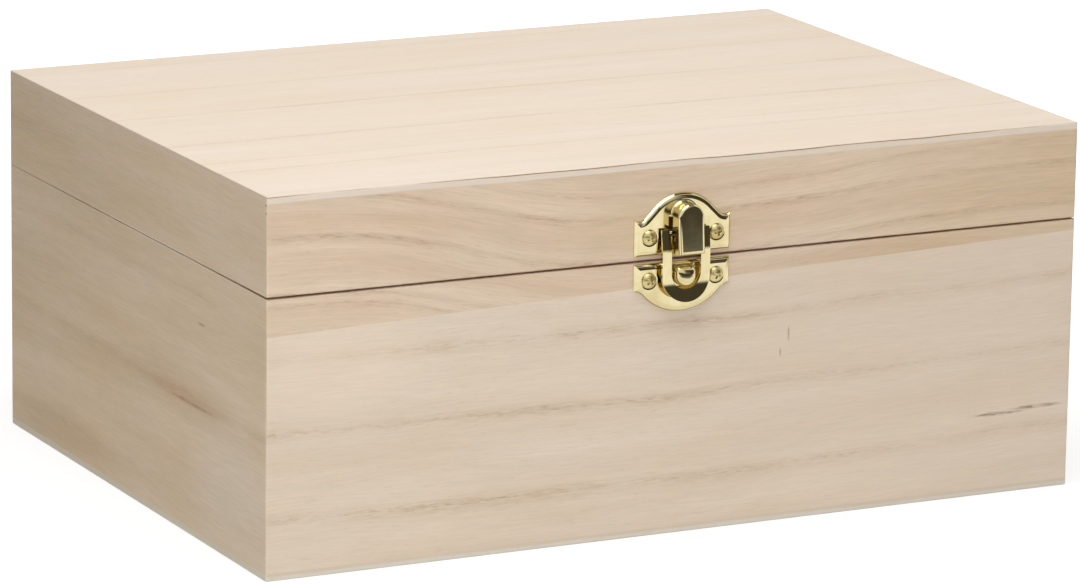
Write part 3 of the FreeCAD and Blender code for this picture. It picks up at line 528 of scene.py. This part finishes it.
def bare_wood(name, axes, face, tones, contrast, figure, rings, marks=(), plies=(), ends=None):
    """A board's wood.

    axes and face say how the board lies. tones are the wood's light, dark and line colours, and contrast is
    how far its fibres are lighter and darker than that. figure lists how far the rings rise along the board,
    in millimetres. rings lists each ring's height on the face where the figure is level, the width of its
    band and how strongly it shows. marks are streaks and patches, dark or pale: place along and across, half
    length, half height and half depth, colour, strength, and how broken the mark is. plies lists heights
    into a panel and the colour that its edge has there, and ends is the colour of the panel's ends.
    """
    material = new_material(name)
    tree = material.node_tree
    light, dark, line = tones
    spot = board_place(tree, axes, face)
    level = ring_height(tree, spot, figure)
    noise = grain_noise(tree, spot, level)
    lines = ring_lines(tree, level, noise, rings)

    cloud = add(tree, "ShaderNodeMapRange", {"Value": noise["cloud"], **CLOUD_RANGE})
    tone = add(tree, "ShaderNodeMix", {
        MIX_SHARE: cloud, MIX_FROM: colour(light), MIX_TO: colour(dark)}, data_type="RGBA").outputs[MIXED]
    warmth = add(tree, "ShaderNodeMapRange", {"Value": noise["patch"], **WARMTH})
    tone = add(tree, "ShaderNodeHueSaturation", {"Color": tone, "Saturation": warmth})
    tone = add(tree, "ShaderNodeMix", {
        MIX_SHARE: lines, MIX_FROM: tone, MIX_TO: colour(line)}, data_type="RGBA").outputs[MIXED]
    tone = board_marks(tree, tone, spot, noise, marks)
    if plies:
        tone = ply_edges(tree, tone, spot, noise, plies)
    if ends:
        tone = panel_ends(tree, tone, spot, ends)

    shade = add(tree, "ShaderNodeMapRange", {
        "Value": noise["fibre"], **FIBRE_RANGE, "To Min": 1 - contrast, "To Max": 1 + contrast})
    tone = add(tree, "ShaderNodeVectorMath", {0: tone, "Scale": shade}, operation="SCALE")
    roughness = add(tree, "ShaderNodeMapRange", {"Value": noise["fibre"], **SANDED})
    relief = add(tree, "ShaderNodeBump", {
        "Strength": FIBRE_STRENGTH, "Distance": FIBRE_RELIEF, "Height": noise["fibre"]})
    surface = add(tree, "ShaderNodeBsdfPrincipled", {
        "Base Color": tone, "Roughness": roughness, "Specular IOR Level": WOOD_SHINE, "Normal": relief})
    add(tree, "ShaderNodeOutputMaterial", {"Surface": surface})
    print(f"{name}: {len(rings)} rings, {len(marks)} marks")
    return material


# %% [markdown]
# The front shows two boards. The lid and the top strip of the base come from one darker board, whose rings
# sweep down from the left, bottom out at the latch and rise again. The stave below is paler, with level
# rings an inch apart. Rings, tints and streaks could be left to chance, but on the face that is seen first
# they are listed one by one, each where the photograph has it.

# %% Front boards
FRONT_AXES = ("X", "Z", "Y")
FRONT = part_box("lid_front_rail")[0][1] * MM
SEAM = (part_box("base_front_upper_stave")[1][2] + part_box("lid_front_rail")[0][2]) / 2 * MM
upper_board = bare_wood(
    "upper_board_wood", FRONT_AXES, FRONT, tones=("#F2DDC5", "#E2C9AD", "#9C714C"), contrast=0.06,
    figure=[(-150, 13.7), (-114, 11.7), (-90, 7.0), (-70, 2.0), (-52, -2.0), (-25, -4.5), (15, -4.7),
            (50, -3.0), (90, 0.3), (150, 1.2)],
    rings=[(78.0, 1.2, 0.26), (81.5, 1.0, 0.3), (99.0, 1.4, 0.34), (113.0, 1.3, 0.3),
           (121.0, 1.2, 0.18)],
    marks=[
        # painted shade in the saw cut, broken up like its raw edges
        ((0, SEAM), (1000, 0.8, 2), GAP_SHADE_AND_NICK_TONE, 0.65, 0.5),        # raw edges along the saw cut
        ((150, 104), (110, 60, 20), "#DABF96", 0.35, 0.0),       # tint towards the right end
        ((-10, 106), (45, 14, 20), "#DABF96", 0.42, 0.0),        # tint beside the latch
        ((75, 89), (60, 6, 20), "#CDA983", 0.3, 0.0),            # tint of the strip above the glue line
    ])
lower_stave = bare_wood(
    "lower_stave_wood", FRONT_AXES, FRONT, tones=("#F2E2CF", "#E8D5BF", "#A47A38"), contrast=0.04,
    figure=[(-150, 0.0), (-80, -0.6), (-15, -1.4), (60, 0.0), (150, 2.6)],
    rings=[(-3.5, 2.2, 0.2), (20.2, 2.4, 0.3), (48.4, 2.2, 0.28), (73.0, 2.2, 0.28)],
    marks=[
        ((-125, 68), (45, 22, 5), "#FAE7D2", 0.6, 0.0),          # pale upper left corner
        ((105, 45), (100, 90, 20), "#EDDBC7", 0.5, 0.0),         # rings fade towards the right
        ((122, 28.1), (14, 0.9, 2), STREAK_TONE, 0.65, 0.75),    # dark streak, in two pieces
        ((137, 29.2), (13, 0.9, 2), STREAK_TONE, 0.65, 0.75),
        ((40, 64), (0.5, 3.4, 2), GAP_SHADE_AND_NICK_TONE, 0.45, 0.3),          # two short nicks across the grain
        ((37, 58), (0.5, 2.0, 2), GAP_SHADE_AND_NICK_TONE, 0.4, 0.3),
    ])

# %% [markdown]
# The left side is one board, sawn through for the lid, with faint wide rings and one warm, dark figure.
# Towards the back the saw cut is nearly closed, and a painted highlight along it stands for its bright edges
# in place of a gap, while painted shade darkens the cut at the front. The right side and the back aren't
# seen in the photograph, so they get rings of their own in the same manner.

# %% Side and back boards
SIDE_AXES = ("Y", "Z", "X")
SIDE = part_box("lid_right_rail")[1][0] * MM
SIDE_TONES = ("#E8D3BA", "#DDC7AA", "#A5835C")
SIDE_CONTRAST = 0.055
left_wood = bare_wood(
    "left_wood", SIDE_AXES, -SIDE, SIDE_TONES, SIDE_CONTRAST,
    figure=[(-110, 0.0), (0, 0.8), (110, 0.0)],
    rings=[(12.0, 2.5, 0.12), (46.5, 3.0, 0.2), (82.0, 2.5, 0.12), (112.0, 2.5, 0.12)],
    marks=[
        ((-35, 49), (75, 10, 5), "#B8996C", 0.22, 0.0),          # warm figure: its haze,
        ((-42, 46.2), (48, 3.4, 2), "#AC7440", 0.2, 0.2),        # its body
        ((-51, 45.0), (24, 0.9, 2), "#8A5020", 0.36, 0.3),       # and its dark core
        ((-58, 73.7), (4, 0.7, 2), STREAK_TONE, 0.5, 0.3),       # small dark fleck
        ((62, 9), (62, 10, 2), "#A88F60", 0.2, 0.2),             # tint low down at the back
        ((-85, 16), (50, 34, 5), "#E6DACB", 0.45, 0.0),          # pale lower front corner
        # painted highlight along the closed part of the saw cut
        ((-25, SEAM), (90, 0.6, 8), SAW_CUT_HIGHLIGHT_TONE, 0.65, 0.0),       # bright edges of the saw cut
        # painted shade in the saw cut at the front, where it is open
        ((-110, SEAM), (30, 0.6, 3), GAP_SHADE_AND_NICK_TONE, 0.5, 0.0),        # and their dark start at the front
        ((-109.2, 124.0), (0.5, 0.6, 1), GAP_SHADE_AND_NICK_TONE, 0.8, 0.0),    # two nicks at the upper corner
        ((-109.3, 121.4), (0.4, 0.6, 1), GAP_SHADE_AND_NICK_TONE, 0.7, 0.0),
    ])
right_wood = bare_wood(
    "right_wood", SIDE_AXES, SIDE, SIDE_TONES, SIDE_CONTRAST,
    figure=[(-110, 3.0), (-30, 0.0), (40, -1.0), (110, 2.0)],
    rings=[(8.0, 2.0, 0.2), (31.0, 2.0, 0.2), (57.0, 2.2, 0.25), (84.0, 2.0, 0.18), (109.0, 2.0, 0.2)],
    marks=[
        ((35, 70), (12, 0.8, 2), STREAK_TONE, 0.5, 0.6),         # dark streak
        # painted shade in the saw cut at the front
        ((-110, SEAM), (35, 0.6, 8), GAP_SHADE_AND_NICK_TONE, 0.8, 0.0),        # dark start of the saw cut
    ])
back_wood = bare_wood(
    "back_wood", FRONT_AXES, -FRONT, tones=("#EAD6BD", "#DFC8AC", "#A5835C"), contrast=0.05,
    figure=[(-150, 2.0), (-60, -3.0), (30, -5.0), (100, -1.0), (150, 3.0)],
    rings=[(10.0, 2.0, 0.2), (34.0, 2.2, 0.25), (60.0, 2.0, 0.2), (88.0, 2.0, 0.22), (116.0, 2.0, 0.18)],
    marks=[((-70, 40), (14, 0.8, 2), STREAK_TONE, 0.5, 0.6)])    # dark streak

# %% [markdown]
# Top and bottom are thin plywood with a calmer, straighter grain. The edge of the top shows pale plies and
# between them a thin brown glue line, which comes and goes, because sanding has left the outer ply uneven.
# The edge of the bottom is a plain pale grey band under a slightly warmer one.

# %% Panels
PANEL_AXES = ("X", "Y", "Z")
PANEL_TONES = ("#E8D9C9", "#E4D4C1", "#B1967A")
PANEL_CONTRAST = 0.025
PANEL_FIGURE = [(-150, 0.0), (0, 1.0), (150, -0.5)]
PANEL_RINGS = [(-72.0, 1.0, 0.28), (-58.0, 1.0, 0.2), (-29.5, 1.1, 0.34), (16.5, 1.1, 0.32),
               (55.0, 1.0, 0.2), (98.0, 1.0, 0.15)]
RING_SHIFT = 21
EDGE, PLY, GLUE, TOP_ENDS = "#F4E5D4", "#EAD8C3", "#A98763", "#E0CBB3"
LOW_EDGE, LOW_LINE, LOW_ENDS = "#EBE3D6", "#E5D5C0", "#E5DCCA"
top_low, top_high = (corner[2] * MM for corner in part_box("top_panel"))
top_wood = bare_wood(
    "top_panel_wood", PANEL_AXES, top_high, PANEL_TONES, PANEL_CONTRAST, PANEL_FIGURE, PANEL_RINGS,
    plies=[(top_low, PLY), (top_low + 0.4, EDGE), (top_high - 0.6, EDGE), (top_high - 0.4, GLUE),
           (top_high - 0.25, GLUE), (top_high - 0.05, EDGE), (top_high + 0.5, EDGE)],
    ends=TOP_ENDS)
bottom_low, bottom_high = (corner[2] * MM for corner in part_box("bottom_panel"))
bottom_wood = bare_wood(
    "bottom_panel_wood", PANEL_AXES, bottom_high, PANEL_TONES, PANEL_CONTRAST, PANEL_FIGURE,
    [(height + RING_SHIFT, width, strength) for height, width, strength in PANEL_RINGS],
    plies=[(bottom_low, LOW_EDGE), (bottom_low + 1.2, LOW_EDGE), (bottom_low + 1.8, LOW_LINE),
           (bottom_high, LOW_LINE)],
    ends=LOW_ENDS)

# %% [markdown]
# The lid was sawn off the closed box, so a rail of the lid and the wall below it are one board. Each pair
# could get a material of its own, but sharing one lets the rings run on across the saw cut.

# %% Give each board its wood
WOODS = {
    upper_board: ["base_front_upper_stave", "lid_front_rail"],
    lower_stave: ["base_front_lower_stave"],
    left_wood: ["base_left_wall", "lid_left_rail"],
    right_wood: ["base_right_wall", "lid_right_rail"],
    back_wood: ["base_back_wall", "lid_back_rail"],
    top_wood: ["top_panel"],
    bottom_wood: ["bottom_panel"],
}
for material, names in WOODS.items():
    for name in names:
        cad_nodes[name].data.materials.clear()
        cad_nodes[name].data.materials.append(material)
    print(f"{material.name} on {', '.join(names)}")

# %% [markdown]
# ## Bright plating
# The latch, hinges and screws are pressed or turned steel with a thin bright brass plating. To the eye that
# is a clear mirror with a pale, slightly green yellow. A plain gold colour would do from afar. Close up,
# the pressing leaves a faint ripple of one to two millimetres and handling leaves dull patches, so two
# noises of those sizes vary the relief, the colour and the roughness.

# %% Plating material
SMUDGE_MM, SMUDGE_DETAIL = 6.0, 4.0
SMUDGE_RANGE = {"From Min": 0.35, "From Max": 0.7}
RIPPLE_MM, RIPPLE_DETAIL = 1.6, 1.0
RIPPLE_RELIEF, RIPPLE_STRENGTH = 0.00002, 0.12


def bright_brass(name, pale, deep, smooth, dull):
    """Brass plating that varies between two colours and two roughnesses."""
    material = new_material(name)
    tree = material.node_tree
    place = add(tree, "ShaderNodeTexCoord").outputs["Object"]
    in_mm = add(tree, "ShaderNodeVectorMath", {0: place, "Scale": MM}, operation="SCALE")
    smudge = add(tree, "ShaderNodeTexNoise", {
        "Vector": in_mm, "Scale": 1 / SMUDGE_MM, "Detail": SMUDGE_DETAIL})
    ripple = add(tree, "ShaderNodeTexNoise", {
        "Vector": in_mm, "Scale": 1 / RIPPLE_MM, "Detail": RIPPLE_DETAIL})
    patch = add(tree, "ShaderNodeMapRange", {"Value": smudge, **SMUDGE_RANGE})
    tone = add(tree, "ShaderNodeMix", {
        MIX_SHARE: patch, MIX_FROM: colour(pale), MIX_TO: colour(deep)}, data_type="RGBA")
    roughness = add(tree, "ShaderNodeMapRange", {
        "Value": smudge, **SMUDGE_RANGE, "To Min": smooth, "To Max": dull})
    relief = add(tree, "ShaderNodeBump", {
        "Strength": RIPPLE_STRENGTH, "Distance": RIPPLE_RELIEF, "Height": ripple})
    metal = add(tree, "ShaderNodeBsdfPrincipled", {
        "Base Color": tone.outputs[MIXED], "Metallic": 1.0, "Roughness": roughness, "Normal": relief})
    add(tree, "ShaderNodeOutputMaterial", {"Surface": metal})
    print(f"{name}: roughness {smooth} to {dull}")
    return material


latch_brass = bright_brass("latch_brass_plating", "#DCCFA4", "#D0C090", 0.06, 0.13)
screw_brass = bright_brass("screw_brass_plating", "#D8C998", "#C8B67C", 0.28, 0.38)
hinge_brass = bright_brass("hinge_brass_plating", "#D4C28E", "#C6B078", 0.12, 0.22)

# %% [markdown]
# ## Metal pieces
# A CAD solid comes as flat facets, which polished metal would show. The solids could be modelled anew, but
# they already have the true shape. Each metal piece is therefore a copy with its facets merged, its sharp
# edges broken by a hair, and smooth shading up to the real edges.

# %% Copy a solid and break its edges
WELD = 1e-6
COPLANAR = math.radians(0.5)
EDGE_BREAK, EDGE_STEPS = 0.00012, 2
SHARP = math.radians(38)


def merged_copy(name):
    """A copy of a CAD solid, selected alone, with its triangles welded and its flat faces made whole."""
    piece = bpy.data.objects.new("plated_" + name, cad_nodes[name].data.copy())
    scene.collection.objects.link(piece)
    bpy.ops.object.select_all(action="DESELECT")
    piece.select_set(True)
    bpy.context.view_layer.objects.active = piece
    bpy.ops.mesh.customdata_custom_splitnormals_clear()
    bpy.ops.object.mode_set(mode="EDIT")
    bpy.ops.mesh.select_all(action="SELECT")
    bpy.ops.mesh.remove_doubles(threshold=WELD)
    bpy.ops.mesh.dissolve_limited(angle_limit=COPLANAR)
    bpy.ops.object.mode_set(mode="OBJECT")
    return piece


def break_edges(piece):
    """Round the sharp edges by a hair, and shade the rest smooth."""
    edges = piece.modifiers.new("edge_break", "BEVEL")
    edges.width = EDGE_BREAK
    edges.segments = EDGE_STEPS
    edges.limit_method = "ANGLE"
    edges.angle_limit = SHARP
    bpy.ops.object.modifier_apply(modifier=edges.name)
    bpy.ops.object.shade_smooth_by_angle(angle=SHARP)


print("edges are broken by", EDGE_BREAK * MM, "mm")

# %% [markdown]
# Next to the flat face, the rims of the two latch plates slope by less than the angle up to which shading
# is smooth, so it would smear the flat face into them and lose the mitres at their corners. A smaller angle
# would bring back the facets of the round parts. So the edges round each flat face, and the mitres of the
# rims, are marked as sharp. The copy of the catch plate has only a stub in place of its nose, because the
# nose gets a finer piece of its own.

# %% Crisp rims and the stub of the nose
MITRE = math.radians(11)
FLUSH, CLIMB = 2e-6, 2e-5
OUTWARD = -0.999
STUB = 0.7
PLATE_STAND, NOSE_DROP, ROOT_STAND = 0.0013, 0.0054, 0.00015
plate_low, plate_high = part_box("latch_catch_plate")
nose_foot = Vector(((plate_low[0] + plate_high[0]) / 2, FRONT / MM - PLATE_STAND, SEAM / MM - NOSE_DROP))


def keep_rim_crisp(piece):
    """Mark the edges of a plate's flat face and the mitres of its rim as sharp."""
    mesh = piece.data
    outward = [polygon for polygon in mesh.polygons if polygon.normal.y < OUTWARD]
    face = max(outward, key=lambda polygon: polygon.area).center.y
    flush = {v.index for v in mesh.vertices if abs(v.co.y - face) < FLUSH}
    rim = {v.index for v in mesh.vertices if v.co.y > face - FLUSH}
    normals = {edge.key: [] for edge in mesh.edges}
    for polygon in mesh.polygons:
        for key in polygon.edge_keys:
            normals[key].append(polygon.normal)
    for edge in mesh.edges:
        start, stop = (mesh.vertices[index].co for index in edge.key)
        angle = normals[edge.key][0].angle(normals[edge.key][-1])
        mitre = rim.issuperset(edge.key) and abs(start.y - stop.y) > CLIMB and angle > MITRE
        edge.use_edge_sharp = edge.use_edge_sharp or mitre or flush.issuperset(edge.key)


def shrink_nose(piece):
    """Draw the nose of the catch plate in to a stub."""
    for vertex in piece.data.vertices:
        if vertex.co.y < nose_foot.y - ROOT_STAND:
            vertex.co = nose_foot + (vertex.co - nose_foot) * STUB


print("foot of the nose at", tuple(round(v, 4) for v in nose_foot))

# %% [markdown]
# All metal pieces go through the same steps, so one loop makes them. Smooth shading alone would let a flat
# face bulge towards its broken edges. Extra cuts along the edges would stop that, but weighted normals do
# it without another face. Each piece rides on the body of its solid and stands in for it.

# %% Metal pieces
PLATES = ("latch_lid_plate", "latch_catch_plate")
METALS = {"latch_brass": latch_brass, "screw_brass": screw_brass, "hinge_brass": hinge_brass}
slot_of = {row["node"]: row["material_slot"] for row in frame["record"]["subparts"]}
for name, slot in slot_of.items():
    if slot not in METALS:
        continue
    piece = merged_copy(name)
    if name == "latch_catch_plate":
        shrink_nose(piece)
    break_edges(piece)
    if name in PLATES:
        keep_rim_crisp(piece)
    flats = piece.modifiers.new("flats_stay_flat", "WEIGHTED_NORMAL")
    flats.keep_sharp = True
    bpy.ops.object.modifier_apply(modifier=flats.name)
    piece.data.materials.clear()
    piece.data.materials.append(METALS[slot])
    body = cad_nodes[name]["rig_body"]
    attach(piece, body)
    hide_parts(name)
    print(f"{piece.name}: {len(piece.data.polygons)} faces on {body}")
bpy.ops.object.select_all(action="DESELECT")

# %% [markdown]
# The catch nose is pressed out of its plate as a smooth knob, flat on top, round below and leaning back.
# Its solid has that size and lean, but long uneven facets that the plating would show. A sphere gives even
# facets. Its back half is cut away, and each point of the front half then moves to the knob's outline, and
# out along a curve that is flatter than a circle.

# %% Catch nose
NOSE_HALF_WIDTH, NOSE_HALF_HEIGHT, NOSE_RISE = 0.0039, 0.0037, 0.0042
NOSE_LEAN = math.tan(math.radians(6))
NOSE_SEGMENTS, NOSE_RINGS = 64, 32
# Exponents of the outline's upper and lower half and of the dome: 2 is a circle, and more is squarer
UPPER, LOWER, DOME = 4, 2, 2.8
bpy.ops.mesh.primitive_uv_sphere_add(
    segments=NOSE_SEGMENTS, ring_count=NOSE_RINGS, radius=1.0, rotation=(UPRIGHT, 0, 0))
nose = bpy.context.object
nose.name = "plated_catch_nose"
bpy.ops.object.transform_apply(location=False, rotation=True, scale=False)
bpy.ops.object.mode_set(mode="EDIT")
bpy.ops.mesh.select_all(action="SELECT")
bpy.ops.mesh.bisect(plane_co=(0, 0, 0), plane_no=(0, 1, 0), clear_outer=True, use_fill=True)
bpy.ops.object.mode_set(mode="OBJECT")
for vertex in nose.data.vertices:
    reach = min(math.hypot(vertex.co.x, vertex.co.z), 1.0)
    turn = math.atan2(vertex.co.z, vertex.co.x)
    power = UPPER if turn > 0 else LOWER
    spread = (abs(math.cos(turn)) ** power + abs(math.sin(turn)) ** power) ** (-1 / power) * reach
    across = spread * math.cos(turn) * NOSE_HALF_WIDTH
    height = spread * math.sin(turn) * NOSE_HALF_HEIGHT
    out = (1 - reach ** DOME) ** (1 / DOME)
    vertex.co = nose_foot + Vector((across, out * (height * NOSE_LEAN - NOSE_RISE), height))
bpy.ops.object.shade_smooth_by_angle(angle=SHARP)
nose.data.materials.append(latch_brass)
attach(nose, cad_nodes["latch_catch_plate"]["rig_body"])
bpy.ops.object.select_all(action="DESELECT")
print(f"{nose.name}: {len(nose.data.polygons)} faces")
